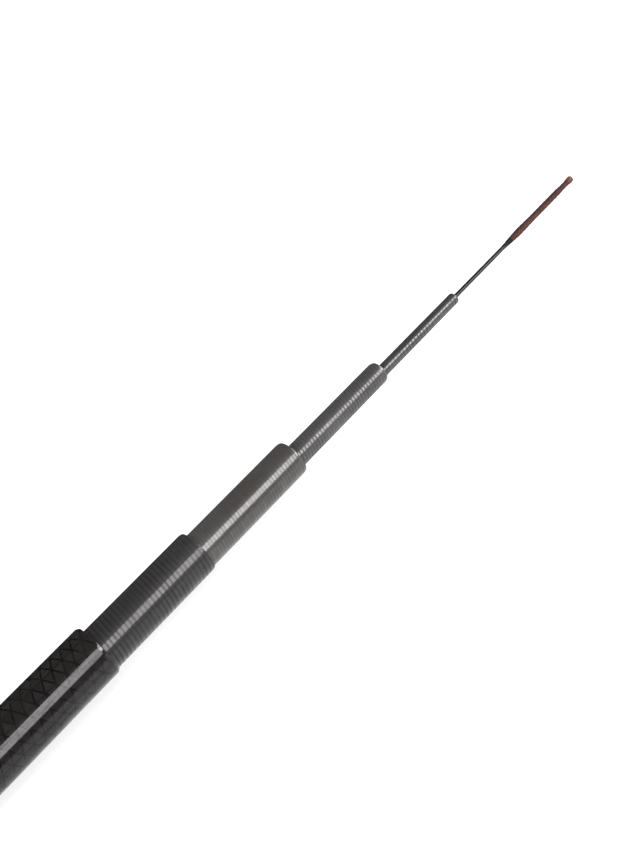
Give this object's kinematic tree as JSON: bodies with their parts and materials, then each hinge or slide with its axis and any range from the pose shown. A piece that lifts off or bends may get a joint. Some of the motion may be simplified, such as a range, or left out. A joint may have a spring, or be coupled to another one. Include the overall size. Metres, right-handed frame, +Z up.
{
  "type": "telescopic fishing pole",
  "caption": "Telescopic hand pole without reel or line guides: tapered hollow sections that slide in each other, solid tip, braided line connector and screw-off butt cap.",
  "frame": {"origin": "centre of the butt cap's flat end face", "axes": "+X along the pole from butt to tip, +Z up with the pole lying level, +Y completes the right-handed frame"},
  "size_m": [0.8541, 0.021, 0.021],
  "materials": {
    "butt_carbon": "clear-coated dark carbon with a cross-wrapped pattern",
    "tube_graphite": "clear-coated near-black blank with fine wrap ridges",
    "tube_warm_grey": "clear-coated warm dark grey blank with fine wrap ridges",
    "tube_grey": "clear-coated dark grey blank with fine wrap ridges",
    "tube_dark_grey": "clear-coated dark grey blank with fine wrap ridges",
    "tip_black": "varnished solid black tip",
    "collar_black": "black varnished neck",
    "braid_red_brown": "dull red-brown braided nylon",
    "cap_metal": "black anodised, fluted rim",
    "washer_rubber": "matt black rubber",
    "pad_foam": "dark grey closed-cell foam"
  },
  "bodies": {
    "butt": {"butt_tube": "butt_carbon", "butt_insert": "cap_metal"},
    "washer": {"cap_washer": "washer_rubber"},
    "cap": {"butt_cap": "cap_metal", "cap_pad": "pad_foam"},
    "section_2": {"section_2_tube": "tube_graphite"},
    "section_3": {"section_3_tube": "tube_warm_grey"},
    "section_4": {"section_4_tube": "tube_grey"},
    "section_5": {"section_5_tube": "tube_dark_grey"},
    "tip": {"tip_rod": "tip_black", "connector_collar": "collar_black", "connector_braid": "braid_red_brown"}
  },
  "joints": [
    {"name": "cap_travel", "type": "slide", "parent": "butt", "child": "washer", "axis": [-1, 0, 0], "range_m": [0, 0.008]},
    {"name": "cap_turn", "type": "hinge", "parent": "washer", "child": "cap", "pos_m": [0, 0, 0], "axis": [-1, 0, 0], "range_deg": [0, 1440]},
    {"name": "section_2_slide", "type": "slide", "parent": "butt", "child": "section_2", "axis": [1, 0, 0.0011], "range_m": [-0.0495, 0.51]},
    {"name": "section_3_slide", "type": "slide", "parent": "section_2", "child": "section_3", "axis": [1, 0, 0.001], "range_m": [-0.0494, 0.5085]},
    {"name": "section_4_slide", "type": "slide", "parent": "section_3", "child": "section_4", "axis": [1, 0, 0.0014], "range_m": [-0.049, 0.5088]},
    {"name": "section_5_slide", "type": "slide", "parent": "section_4", "child": "section_5", "axis": [1, 0, 0.0015], "range_m": [-0.0458, 0.512]},
    {"name": "tip_slide", "type": "slide", "parent": "section_5", "child": "tip", "axis": [1, 0, 0], "range_m": [-0.0306, 0.5074]}
  ],
  "couplings": [
    {"joint": "cap_travel", "follows": "cap_turn", "m_per_rad": 0.00031831}
  ]
}
